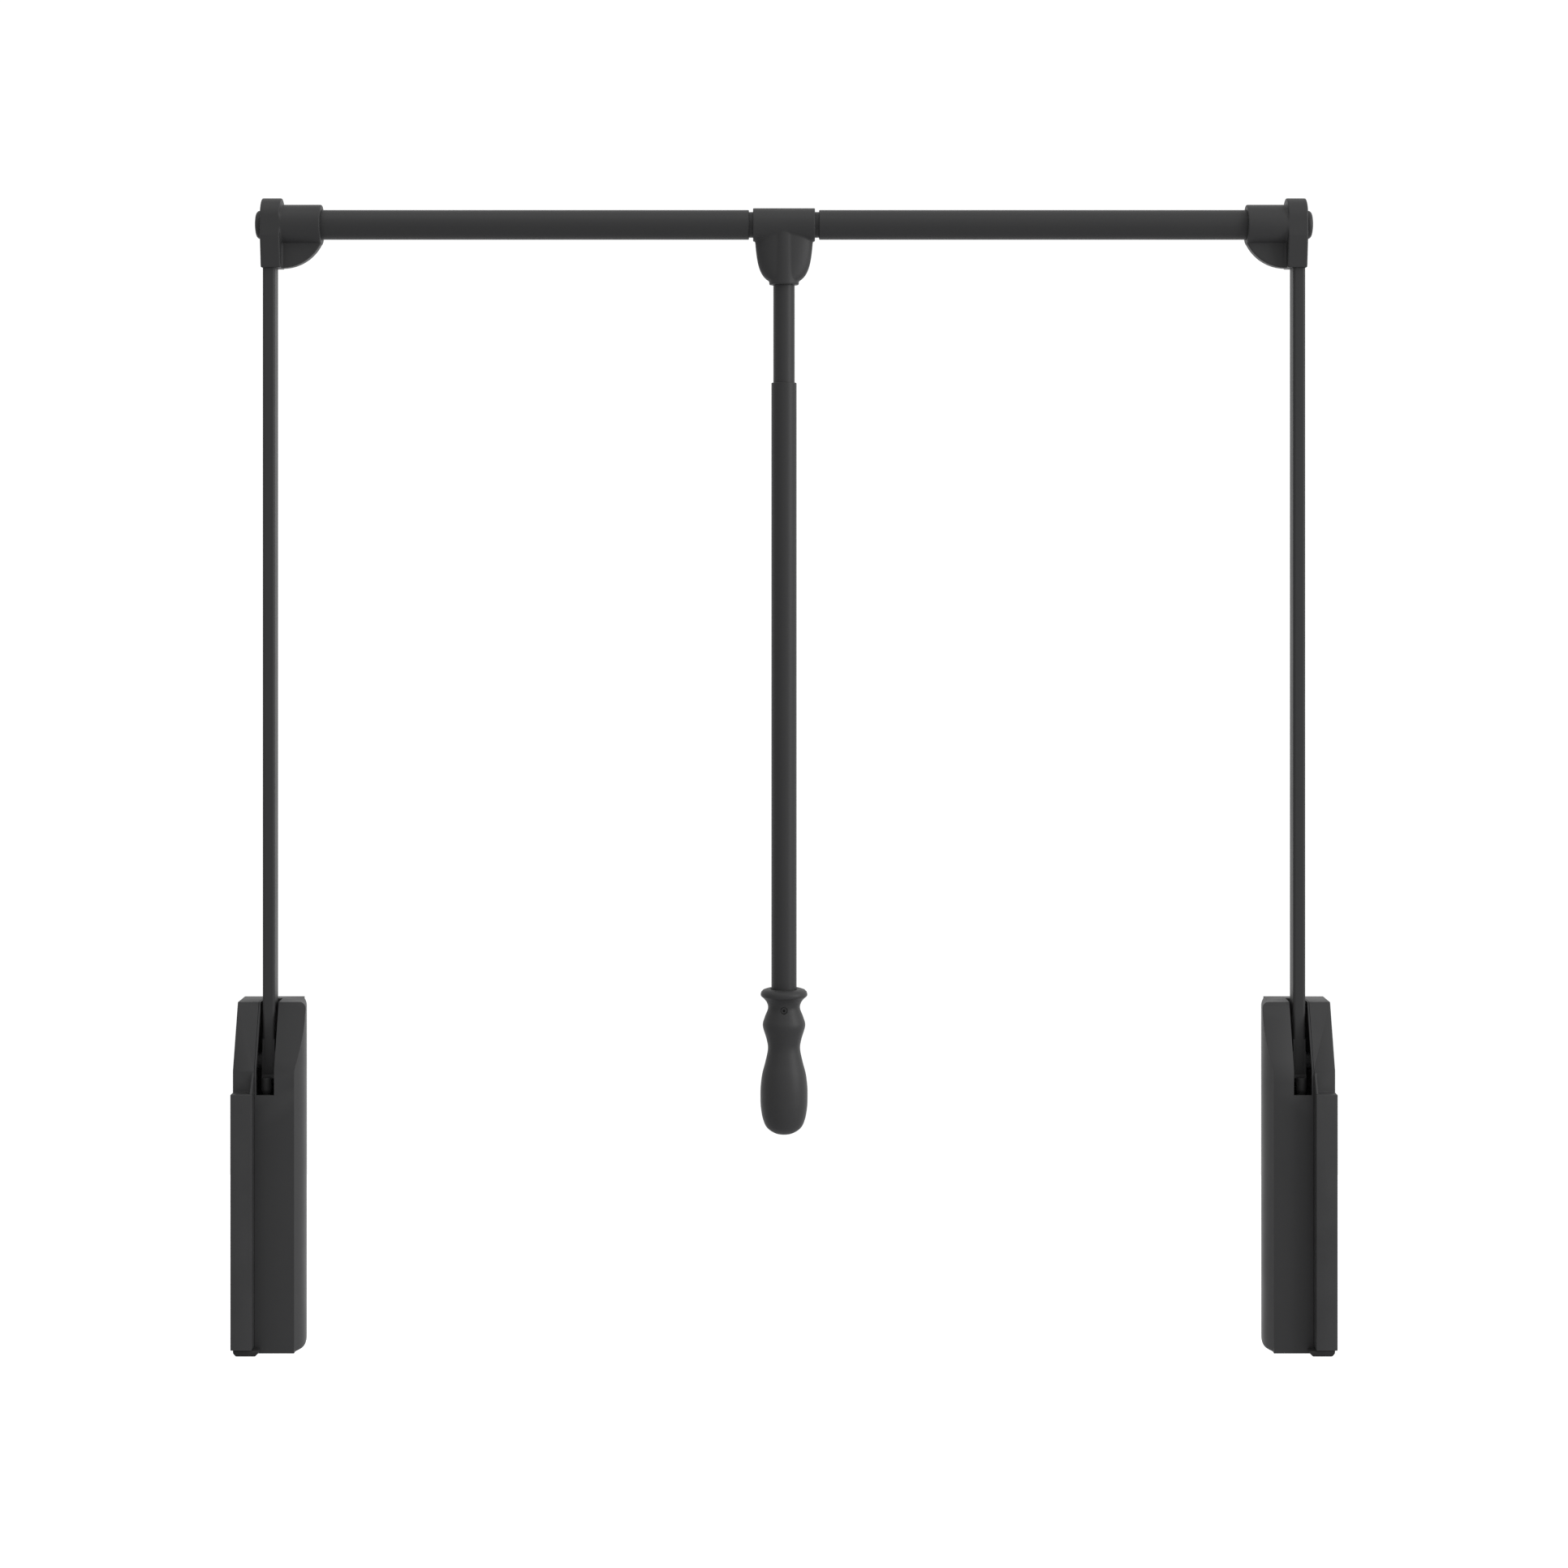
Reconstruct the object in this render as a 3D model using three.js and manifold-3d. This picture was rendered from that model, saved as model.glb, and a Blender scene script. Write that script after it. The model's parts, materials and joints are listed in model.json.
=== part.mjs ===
// Pull-down wardrobe rail: two spring units on the cabinet walls carry swinging arms and a telescopic
// clothes rail, with a pull rod hanging from its middle. Millimetres, +X right, +Y to the back, +Z up.
// The origin is midway between the walls, and between the front and back of the units, under their feet.
import * as THREE from "three";
import { mergeVertices } from "three/addons/utils/BufferGeometryUtils.js";
import Module from "manifold-3d";

const wasm = await Module();
wasm.setup();

// Driving dimensions.
const WALL = 415; // from the middle to each cabinet wall
const GAP = 0.3; // running and assembly clearance
const UNIT = {
  height: 261.6,
  front: -21,
  back: 32,
  inner: 51.9,
  innerBack: 47.4,
  creaseInner: 46.2,
  wall: 2.5,
  split: 16,
  slopeFoot: 212.7,
  slopeBack: 1,
  lowerRound: 4,
  upperRound: 5,
};
const FLANGE = { front: -32, bottom: 4.7, top: 196.7, rib: 1.8 };
const SLOT = { outer: 17.5, inner: 31.1, bottom: 194.3, back: 21 };
const PIVOT = { y: 7, z: 216 };
const ARM = { outer: 19.3, inner: 28.5, depth: 18, bottom: 234, top: 849, wall: 1.2 };
const GEAR = { module: 2, teeth: 14, from: 18.8, to: 29 };
const RACK = { back: 28, top: 226, teethFrom: 182, bottom: 172, foot: 166 };
const SPRING = { y: 20.4, radius: 5.5, wire: 1.2, top: 146.7, bottom: 58, turns: 8 };
const BUMPER = { y: -11.5, across: 24, foot: 190.3, top: 206.4 };
const SCREW = { y: 23, headRadius: 3, shankRadius: 1.6, recess: 3.6, heights: [18, 160, 245] };
const RAIL = {
  z: 852.5,
  outerRadius: 11.3,
  innerRadius: 9.8,
  tubeWall: 1.1,
  gapEdge: 26.7,
  outerEnd: 380,
  innerHalf: 228,
};
const TEE = { half: 23.6, radius: 12.7, bottom: 806.7, neckRadius: 11.3, webThickness: 13 };
const ROD = { radius: 8.15, bottom: 480, tubeRadius: 9.6, tubeTop: 732.2 };
const GRIP = { bottom: 159.8, top: 271 };
const SOCKET = { from: 351.8, face: 382, outer: 397, radius: 15.3, gusset: 33.2 };
const ROUND = 24; // sides of a tube or a turned piece
const SMALL = 12; // sides of a pin or a screw
const FINE = 24; // steps in each curve of the cover's plan

const plasticDark = { color: 0x3c3c3c, roughness: 0.55, metalness: 0 };
const paintDark = { color: 0x3a3a3a, roughness: 0.4, metalness: 0.1 };
const rubberBlack = { color: 0x1c1c1c, roughness: 0.9, metalness: 0 };
const zincSteel = { color: 0xa8aaac, roughness: 0.35, metalness: 0.9 };
const acetalBlack = { color: 0x262626, roughness: 0.4, metalness: 0 };

// Solids.

function solid(geometry) {
  const bare = geometry.clone();
  bare.deleteAttribute("normal");
  bare.deleteAttribute("uv");
  const merged = mergeVertices(bare, 1e-4);
  return new wasm.Manifold(
    new wasm.Mesh({
      numProp: 3,
      vertProperties: merged.attributes.position.array,
      triVerts: new Uint32Array(merged.index.array),
    }),
  );
}

function geometryOf(body) {
  const { vertProperties, triVerts } = body.getMesh();
  const geometry = new THREE.BufferGeometry();
  geometry.setAttribute("position", new THREE.BufferAttribute(new Float32Array(vertProperties), 3));
  geometry.setIndex(new THREE.BufferAttribute(new Uint32Array(triVerts), 1));
  geometry.computeVertexNormals();
  return geometry;
}

function join(...bodies) {
  return bodies.reduce((whole, piece) => whole.add(piece));
}

function cut(body, ...tools) {
  return tools.reduce((rest, tool) => rest.subtract(tool), body);
}

function block([x0, x1], [y0, y1], [z0, z1]) {
  const geometry = new THREE.BoxGeometry(x1 - x0, y1 - y0, z1 - z0);
  return solid(geometry.translate((x0 + x1) / 2, (y0 + y1) / 2, (z0 + z1) / 2));
}

function outline(points) {
  return new THREE.Shape(points.map(([a, b]) => new THREE.Vector2(a, b)));
}

function extrude(shape, length, curveSegments = 8) {
  return new THREE.ExtrudeGeometry(shape, { depth: length, bevelEnabled: false, curveSegments });
}

// A plan outline in X and Y, pulled up along Z.
function prismZ(shape, z0, z1, curveSegments) {
  return solid(extrude(shape, z1 - z0, curveSegments).translate(0, 0, z0));
}

// A side outline in Y and Z, pulled along X.
function prismX(shape, x0, x1) {
  const turn = new THREE.Matrix4().makeBasis(
    new THREE.Vector3(0, 1, 0),
    new THREE.Vector3(0, 0, 1),
    new THREE.Vector3(1, 0, 0),
  );
  return solid(extrude(shape, x1 - x0).applyMatrix4(turn).translate(x0, 0, 0));
}

// A front outline in X and Z, pulled along Y.
function prismY(shape, y0, y1) {
  const turn = new THREE.Matrix4().makeBasis(
    new THREE.Vector3(1, 0, 0),
    new THREE.Vector3(0, 0, 1),
    new THREE.Vector3(0, -1, 0),
  );
  return solid(extrude(shape, y1 - y0).applyMatrix4(turn).translate(0, y1, 0));
}

function rodX(radius, x0, x1, y, z, sides = ROUND) {
  const geometry = new THREE.CylinderGeometry(radius, radius, x1 - x0, sides).rotateZ(Math.PI / 2);
  return solid(geometry.translate((x0 + x1) / 2, y, z));
}

function rodY(radius, y0, y1, x, z, sides = SMALL) {
  const geometry = new THREE.CylinderGeometry(radius, radius, y1 - y0, sides);
  return solid(geometry.translate(x, (y0 + y1) / 2, z));
}

function rodZ(radius, z0, z1, x, y, sides = ROUND) {
  const geometry = new THREE.CylinderGeometry(radius, radius, z1 - z0, sides).rotateX(Math.PI / 2);
  return solid(geometry.translate(x, y, (z0 + z1) / 2));
}

// A turned piece about a vertical axis, from its outline of [radius, height] points.
function turnedZ(points, x, y) {
  const profile = points.map(([radius, height]) => new THREE.Vector2(radius, height));
  return solid(new THREE.LatheGeometry(profile, ROUND).rotateX(Math.PI / 2).translate(x, y, 0));
}

// A turned piece about an axis along X, from its outline of [radius, x] points.
function turnedX(points, y, z) {
  const profile = points.map(([radius, along]) => new THREE.Vector2(radius, along));
  return solid(new THREE.LatheGeometry(profile, ROUND).rotateZ(-Math.PI / 2).translate(0, y, z));
}

// Nodes.

const wardrobeRail = new THREE.Group();

function node(name, body, finish) {
  const mesh = new THREE.Mesh(geometryOf(body), new THREE.MeshStandardMaterial(finish));
  mesh.name = name;
  wardrobeRail.add(mesh);
}

// Each piece of a side is drawn for the left wall, and mirrored for the right one.
function sideNode(side, name, body, finish) {
  node(`${side}_${name}`, side === "left" ? body : body.mirror([1, 0, 0]), finish);
}

// A distance from the left wall as an X.
function inward(distance) {
  return distance - WALL;
}

// Spring unit.

// The inner cover bulges in plan: a crease at the front, then one soft curve round to the back.
function coverPlan(inset) {
  const front = UNIT.front + inset;
  const back = UNIT.back - inset;
  const plan = new THREE.Shape();
  plan.moveTo(inward(UNIT.split + GAP), front);
  plan.lineTo(inward(UNIT.creaseInner - inset), front);
  const leaving = inward(UNIT.creaseInner + 2.6 - inset);
  const fullest = inward(UNIT.inner - inset);
  plan.bezierCurveTo(leaving, front + 5.5, fullest, front + 11, fullest, front + 18);
  plan.bezierCurveTo(fullest, front + 26, fullest - 1.7, back - 13, inward(UNIT.innerBack - inset), back);
  plan.lineTo(inward(UNIT.split + GAP), back);
  plan.closePath();
  return plan;
}

// What the raked front takes off both shells above the slope's foot.
function rake(inset) {
  return prismX(
    outline([
      [UNIT.front - 20, UNIT.slopeFoot - inset / 2],
      [UNIT.front + inset, UNIT.slopeFoot - inset / 2],
      [UNIT.slopeBack + inset, UNIT.height - inset / 2],
      [UNIT.slopeBack + inset + 9, UNIT.height + 20],
      [UNIT.front - 20, UNIT.height + 20],
    ]),
    inward(-10),
    inward(UNIT.inner + 10),
  );
}

// The slot that the arm swings through, open at the front and the top.
function armSlot() {
  return block(
    [inward(SLOT.outer), inward(SLOT.inner)],
    [UNIT.front - 20, SLOT.back],
    [SLOT.bottom, UNIT.height + 20],
  );
}

// Rounds off the inner cover's long top and bottom edges on the rail side.
function roundedEnds(body) {
  const edge = inward(UNIT.inner);
  const { height, lowerRound, upperRound } = UNIT;
  const ends = new THREE.Shape();
  ends.moveTo(inward(0), 0);
  ends.lineTo(edge - lowerRound, 0);
  ends.absarc(edge - lowerRound, lowerRound, lowerRound, -Math.PI / 2, 0, false);
  ends.lineTo(edge, height - upperRound);
  ends.absarc(edge - upperRound, height - upperRound, upperRound, 0, Math.PI / 2, false);
  ends.lineTo(inward(0), height);
  ends.closePath();
  return body.intersect(prismY(ends, UNIT.front - 5, UNIT.back + 5));
}

function coverScrew(z) {
  const head = rodX(SCREW.headRadius, inward(39.2), inward(41.7), SCREW.y, z, SMALL);
  return join(head, rodX(SCREW.shankRadius, inward(30), inward(40), SCREW.y, z, SMALL));
}

function innerCover() {
  const shell = roundedEnds(prismZ(coverPlan(0), 0, UNIT.height, FINE)).subtract(rake(0));
  const deepPlan = coverPlan(UNIT.wall);
  const hollow = prismZ(deepPlan, UNIT.wall, UNIT.height - UNIT.wall).subtract(rake(UNIT.wall));
  const mouth = block(
    [inward(UNIT.split), inward(UNIT.split + 2)],
    [UNIT.front + UNIT.wall, UNIT.back - UNIT.wall],
    [UNIT.wall, UNIT.height - 3 * UNIT.wall],
  ).subtract(rake(UNIT.wall));
  const recesses = SCREW.heights.map((z) => rodX(SCREW.recess, inward(42), inward(60), SCREW.y, z, ROUND));
  return cut(shell, hollow, mouth, armSlot(), ...recesses);
}

// The outer tray lies on the cabinet wall, and its flange stands forward of the cover.
function outerTray() {
  const plan = [inward(0), inward(UNIT.split)];
  const flange = block(plan, [FLANGE.front, UNIT.front + 10], [FLANGE.bottom, FLANGE.top]);
  const main = block(plan, [UNIT.front, UNIT.back], [0, UNIT.height]).subtract(rake(0));
  const hollow = block(
    [inward(UNIT.wall), inward(UNIT.split + 5)],
    [UNIT.front + UNIT.wall, UNIT.back - UNIT.wall],
    [UNIT.wall, UNIT.height - UNIT.wall],
  ).subtract(rake(UNIT.wall));
  const rib = prismX(
    outline([
      [FLANGE.front + 1, FLANGE.top - 1],
      [UNIT.front + 1, FLANGE.top - 1],
      [UNIT.front + 1, UNIT.slopeFoot],
    ]),
    inward(UNIT.split - FLANGE.rib),
    inward(UNIT.split),
  );
  const padSeat = block(
    [inward(1.4), inward(UNIT.split + 5)],
    [FLANGE.front - 5, UNIT.front + 12],
    [-5, FLANGE.bottom],
  );
  return cut(join(flange, main, rib), hollow, padSeat);
}

// The rubber foot reaches a little past the flange, in front of the cover.
function footPad() {
  const reach = UNIT.split + 4.6;
  const pad = outline([
    [inward(3.8), 0],
    [inward(reach - 2.2), 0],
    [inward(reach), 2.2],
    [inward(reach), FLANGE.bottom - GAP],
    [inward(1.8), FLANGE.bottom - GAP],
    [inward(1.8), 2.2],
  ]);
  const whole = prismY(pad, FLANGE.front + 1.5, UNIT.front + 11.5);
  const besideCover = block([inward(UNIT.split), inward(reach + 5)], [UNIT.front - GAP, 0], [-5, 10]);
  return whole.subtract(besideCover);
}

// The steel chassis: a wall plate with two shelves, for the stop and for the spring.
function chassis() {
  const face = [UNIT.front + 4, UNIT.back - 4];
  const plate = block([inward(UNIT.wall + GAP), inward(5)], face, [12, 240]).subtract(rake(5));
  const shelfWidth = [inward(4), inward(39.4)];
  const stopShelf = block(shelfWidth, [UNIT.front + 4, PIVOT.y - 8], [187.3, 190]);
  const springShelf = block(shelfWidth, [PIVOT.y + 1, UNIT.back - 4], [147, 150]);
  const axleHole = rodX(4.3, inward(0), inward(10), PIVOT.y, PIVOT.z);
  const rodHole = rodZ(4.4, 140, 160, inward(24), SPRING.y);
  const wallHoles = [30, 110, 175].map((z) => rodX(2.6, inward(0), inward(10), PIVOT.y - 5, z, SMALL));
  return cut(join(plate, stopShelf, springShelf), axleHole, rodHole, ...wallHoles);
}

function sidePlate() {
  const plate = block([inward(39.7), inward(41.7)], [UNIT.front + 4, UNIT.back - 4], [130, 238]);
  const axleHole = rodX(4.3, inward(30), inward(50), PIVOT.y, PIVOT.z);
  const toScrew = rodX(3, inward(30), inward(50), SCREW.y, 160, SMALL);
  return cut(plate, rake(5), axleHole, toScrew);
}


// Gear and rack.

const PITCH_RADIUS = (GEAR.module * GEAR.teeth) / 2;
const TOOTH_STEP = Math.PI * GEAR.module;
const TOOTH = { tip: 0.8, root: 1.15, thick: 0.41 }; // in modules, in modules, in pitches

// Half the tooth's thickness at a height over the pitch line, with a 20 degree flank.
function halfTooth(height) {
  return (TOOTH.thick * TOOTH_STEP) / 2 - height * Math.tan(Math.PI / 9);
}

// Only the teeth that meet the rack during the swing are cut, from behind the hub to under it.
function gearOutline() {
  const points = [];
  const tip = TOOTH.tip * GEAR.module;
  const root = -TOOTH.root * GEAR.module;
  for (let tooth = 0; tooth < GEAR.teeth; tooth += 1) {
    const middle = (tooth / GEAR.teeth) * 2 * Math.PI;
    const meets = tooth < 2 || tooth > GEAR.teeth - 6;
    const crown = meets ? tip : root;
    const corners = [
      [root, -1],
      [meets ? 0 : root, -1],
      [crown, -1],
      [crown, 1],
      [meets ? 0 : root, 1],
      [root, 1],
    ];
    for (const [height, way] of corners) {
      const radius = PITCH_RADIUS + height;
      const angle = middle + (way * halfTooth(height)) / radius;
      points.push([PIVOT.y + radius * Math.cos(angle), PIVOT.z + radius * Math.sin(angle)]);
    }
  }
  return outline(points);
}

// The hub at the arm's foot: a toothed sector under a cheek that carries the arm's flat front on,
// with a tongue that plugs into the arm.
function hub() {
  const half = ARM.depth / 2;
  const sector = prismX(gearOutline(), inward(GEAR.from), inward(GEAR.to));
  const inFront = block([inward(0), inward(60)], [UNIT.front - 20, PIVOT.y - half], [PIVOT.z - half, 300]);
  const cheek = block(
    [inward(ARM.outer), inward(ARM.inner)],
    [PIVOT.y - half, PIVOT.y + half],
    [PIVOT.z - half, ARM.bottom - GAP],
  );
  const bore = ARM.wall + GAP;
  const tongue = block(
    [inward(ARM.outer + bore), inward(ARM.inner - bore)],
    [PIVOT.y - half + bore, PIVOT.y + half - bore],
    [PIVOT.z, ARM.bottom + 34],
  );
  const axleHole = rodX(4.3, inward(10), inward(40), PIVOT.y, PIVOT.z);
  return cut(join(sector.subtract(inFront), cheek, tongue), axleHole);
}

// The sliding rack behind the hub, with its draw rod and the nut that presses the spring.
function springRack() {
  const pitchY = PIVOT.y + PITCH_RADIUS;
  const tip = TOOTH.tip * GEAR.module;
  const root = TOOTH.root * GEAR.module;
  const points = [
    [pitchY + root, RACK.bottom],
    [RACK.back, RACK.bottom],
    [RACK.back, RACK.top],
    [pitchY + root, RACK.top],
  ];
  const first = Math.floor((RACK.top - 2 - PIVOT.z) / TOOTH_STEP - 0.5);
  const last = Math.ceil((RACK.teethFrom - PIVOT.z) / TOOTH_STEP - 0.5);
  for (let step = first; step >= last; step -= 1) {
    const z = PIVOT.z + (step + 0.5) * TOOTH_STEP;
    points.push([pitchY + root, z + halfTooth(-root)]);
    points.push([pitchY - tip, z + halfTooth(tip)]);
    points.push([pitchY - tip, z - halfTooth(tip)]);
    points.push([pitchY + root, z - halfTooth(-root)]);
  }
  const body = prismX(outline(points), inward(GEAR.from + 1), inward(GEAR.to - 1));
  const foot = block(
    [inward(GEAR.from + 1), inward(GEAR.to - 1)],
    [SPRING.y - 3.6, RACK.back],
    [RACK.foot, RACK.bottom + 1],
  );
  const rod = rodZ(3.2, 44, RACK.foot + 2, inward(24), SPRING.y, SMALL);
  return join(body, foot, rod);
}

function springNut() {
  const nut = rodZ(8.2, 50, SPRING.bottom - GAP, inward(24), SPRING.y, 6);
  return nut.subtract(rodZ(3.2 + GAP, 40, 70, inward(24), SPRING.y, SMALL));
}

class Helix extends THREE.Curve {
  constructor(radius, turns, z0, z1, x, y) {
    super();
    Object.assign(this, { radius, turns, z0, z1, x, y });
  }
  getPoint(t) {
    const angle = t * this.turns * 2 * Math.PI;
    return new THREE.Vector3(
      this.x + this.radius * Math.cos(angle),
      this.y + this.radius * Math.sin(angle),
      this.z0 + t * (this.z1 - this.z0),
    );
  }
}

function coilSpring() {
  const bottom = SPRING.bottom + SPRING.wire;
  const top = SPRING.top - SPRING.wire;
  const path = new Helix(SPRING.radius, SPRING.turns, bottom, top, inward(24), SPRING.y);
  const wire = new THREE.Shape();
  wire.absarc(0, 0, SPRING.wire, 0, 2 * Math.PI, false);
  const steps = SPRING.turns * 10;
  const sweep = { steps, extrudePath: path, curveSegments: 3, bevelEnabled: false };
  return solid(new THREE.ExtrudeGeometry(wire, sweep));
}

// Arm, end bracket and rail.

function armTube() {
  const half = ARM.depth / 2;
  const bar = (inset, z0, z1) =>
    block(
      [inward(ARM.outer + inset), inward(ARM.inner - inset)],
      [PIVOT.y - half + inset, PIVOT.y + half - inset],
      [z0, z1],
    );
  const corners = [];
  for (const x of [ARM.outer, ARM.inner])
    for (const y of [PIVOT.y - half, PIVOT.y + half]) {
      const corner = rodZ(2.2, ARM.bottom - 5, ARM.top + 5, inward(x), y, 4);
      corners.push(corner);
    }
  return cut(bar(0, ARM.bottom, ARM.top), bar(ARM.wall, ARM.bottom - 5, ARM.top + 5), ...corners);
}

// Side outline of the end bracket: a sleeve on the arm, widening to a round head on the rail.
function bracketOutline(inset) {
  const head = 15.3 - inset;
  const sleeve = 11 - inset;
  const middle = RAIL.z + 4.9;
  const side = new THREE.Shape();
  side.moveTo(PIVOT.y - sleeve, 819.9);
  side.lineTo(PIVOT.y + sleeve, 819.9);
  side.lineTo(PIVOT.y + head, middle - 14);
  side.absarc(PIVOT.y, middle, head, 0, Math.PI, false);
  side.lineTo(PIVOT.y - head, middle - 14);
  side.closePath();
  return side;
}

function endBracket() {
  const head = prismX(bracketOutline(0), -SOCKET.outer, -SOCKET.face);
  const socket = rodX(SOCKET.radius, -SOCKET.face - 1, -SOCKET.from, PIVOT.y, RAIL.z);
  const quarter = new THREE.Shape();
  quarter.moveTo(-SOCKET.face, RAIL.z);
  quarter.absarc(-SOCKET.face, RAIL.z, SOCKET.gusset, 0, -Math.PI / 2, true);
  quarter.closePath();
  const gusset = prismY(quarter, PIVOT.y - 5, PIVOT.y + 5).intersect(
    block([-SOCKET.outer, -SOCKET.from], [-40, 60], [800, 900]),
  );
  const armSocket = block(
    [inward(ARM.outer) - GAP, inward(ARM.inner) + GAP],
    [PIVOT.y - ARM.depth / 2 - GAP, PIVOT.y + ARM.depth / 2 + GAP],
    [810, ARM.top + GAP],
  );
  const railBore = rodX(RAIL.outerRadius + GAP, -RAIL.outerEnd - GAP, -340, PIVOT.y, RAIL.z);
  const boltHole = rodX(3.3, -SOCKET.outer - 5, -340, PIVOT.y, RAIL.z, SMALL);
  return cut(join(head, socket, gusset), armSocket, railBore, boltHole);
}

// The domed button on the wall side, whose shank ties the arm, the bracket and the rail together.
function railButton() {
  const face = -SOCKET.outer - GAP;
  return turnedX(
    [
      [0, face - 5],
      [7, face - 4.6],
      [9.9, face - 3.6],
      [10.7, face - 2.4],
      [10.7, face],
      [3, face],
      [3, -372],
      [0, -372],
    ],
    PIVOT.y,
    RAIL.z,
  );
}

function railTube() {
  const tube = rodX(RAIL.outerRadius, -RAIL.outerEnd, -RAIL.gapEdge, PIVOT.y, RAIL.z);
  return tube.subtract(rodX(RAIL.outerRadius - RAIL.tubeWall, -400, 0, PIVOT.y, RAIL.z));
}

// The plug in the rail's end that the button's shank grips.
function railPlug() {
  const plug = rodX(RAIL.outerRadius - RAIL.tubeWall - GAP, -RAIL.outerEnd + 0.5, -360, PIVOT.y, RAIL.z);
  return plug.subtract(rodX(3.3, -390, -350, PIVOT.y, RAIL.z, SMALL));
}

// The rubber stop that the lowered arm rests on, on a thin stem.
function stopBumper() {
  const { foot, top } = BUMPER;
  const profile = [
    [0, foot],
    [2.4, foot],
    [2.6, foot + 3.7],
    [3.7, foot + 6.2],
    [3.9, top - 1.6],
    [3.2, top],
    [0, top],
  ];
  return turnedZ(profile, inward(BUMPER.across), BUMPER.y);
}

for (const side of ["left", "right"]) {
  sideNode(side, "outer_tray", outerTray(), plasticDark);
  sideNode(side, "inner_cover", innerCover(), plasticDark);
  sideNode(side, "foot_pad", footPad(), rubberBlack);
  sideNode(side, "chassis", chassis(), zincSteel);
  sideNode(side, "side_plate", sidePlate(), zincSteel);
  SCREW.heights.forEach((z, index) => {
    sideNode(side, `cover_screw_${index + 1}`, coverScrew(z), zincSteel);
  });
  sideNode(side, "pivot_axle", rodX(3.6, inward(UNIT.wall + GAP), inward(43), PIVOT.y, PIVOT.z), zincSteel);
  const spacer = (from, to) =>
    rodX(6.4, inward(from), inward(to), PIVOT.y, PIVOT.z).subtract(
      rodX(3.6 + GAP, inward(0), inward(60), PIVOT.y, PIVOT.z),
    );
  sideNode(side, "outer_spacer", spacer(5.3, GEAR.from - GAP), acetalBlack);
  sideNode(side, "inner_spacer", spacer(GEAR.to + GAP, 39.4), acetalBlack);
  sideNode(side, "stop_bumper", stopBumper(), rubberBlack);
  sideNode(side, "spring_rack", springRack(), acetalBlack);
  sideNode(side, "spring_nut", springNut(), zincSteel);
  sideNode(side, "coil_spring", coilSpring(), zincSteel);
  sideNode(side, "arm_hub", hub(), paintDark);
  sideNode(side, "arm", armTube(), paintDark);
  sideNode(side, "end_bracket", endBracket(), plasticDark);
  sideNode(side, "rail_button", railButton(), plasticDark);
  sideNode(side, "rail_tube", railTube(), paintDark);
  sideNode(side, "rail_plug", railPlug(), acetalBlack);
}

// Middle of the rail and the pull rod.

function innerRail() {
  const tube = rodX(RAIL.innerRadius, -RAIL.innerHalf, RAIL.innerHalf, PIVOT.y, RAIL.z);
  return tube.subtract(rodX(RAIL.innerRadius - RAIL.tubeWall, -300, 300, PIVOT.y, RAIL.z));
}

// The tee turns on the inner rail: a sleeve, a web that narrows like a shield, and a neck for the rod.
function tee() {
  const web = new THREE.Shape();
  const shoulder = 22.6;
  web.moveTo(-shoulder, RAIL.z - 9);
  web.bezierCurveTo(-21, 826, -20, 814, -TEE.neckRadius, 809.4);
  web.lineTo(TEE.neckRadius, 809.4);
  web.bezierCurveTo(20, 814, 21, 826, shoulder, RAIL.z - 9);
  web.closePath();
  const sleeve = rodX(TEE.radius, -TEE.half, TEE.half, PIVOT.y, RAIL.z);
  const shield = prismY(web, PIVOT.y - TEE.webThickness / 2, PIVOT.y + TEE.webThickness / 2);
  const neck = rodZ(TEE.neckRadius, TEE.bottom, RAIL.z - 4, 0, PIVOT.y);
  const railBore = rodX(RAIL.innerRadius + GAP, -40, 40, PIVOT.y, RAIL.z);
  const rodBore = rodZ(ROD.radius + GAP, 790, RAIL.z, 0, PIVOT.y);
  return cut(join(sleeve, shield, neck), railBore, rodBore);
}

function pullRod() {
  const top = RAIL.z - RAIL.innerRadius - 1.7;
  const rod = rodZ(ROD.radius, ROD.bottom, top, 0, PIVOT.y);
  return rod.subtract(rodZ(ROD.radius - 1.1, ROD.bottom - 5, top + 5, 0, PIVOT.y));
}

function gripTube() {
  const tube = rodZ(ROD.tubeRadius, GRIP.top - 36, ROD.tubeTop, 0, PIVOT.y);
  return tube.subtract(rodZ(ROD.radius + GAP, 0, 900, 0, PIVOT.y));
}

// The clip ring at the rod's foot that stops it leaving the grip tube.
function rodBush() {
  const bush = rodZ(ROD.radius - 1.1 - GAP, ROD.bottom - 6, ROD.bottom + 14, 0, PIVOT.y);
  const lip = rodZ(ROD.radius, ROD.bottom - 6, ROD.bottom - GAP, 0, PIVOT.y);
  return join(bush, lip);
}

// Knots of the turned grip as [height over its foot, radius], for one smooth curve.
const GRIP_KNOTS = [
  [0, 0.1],
  [1.4, 7.4],
  [5.6, 13],
  [12, 16],
  [21, 17.6],
  [29, 18],
  [37, 17.8],
  [46.4, 16.6],
  [56, 14.1],
  [65.6, 12.3],
  [73, 13.5],
  [82.9, 16.2],
  [89.5, 14.6],
  [95.9, 12.3],
  [101, 13.3],
  [105.4, 17.3],
  [108.8, 17.6],
  [110.6, 15.4],
  [111.2, 11.2],
];

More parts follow.
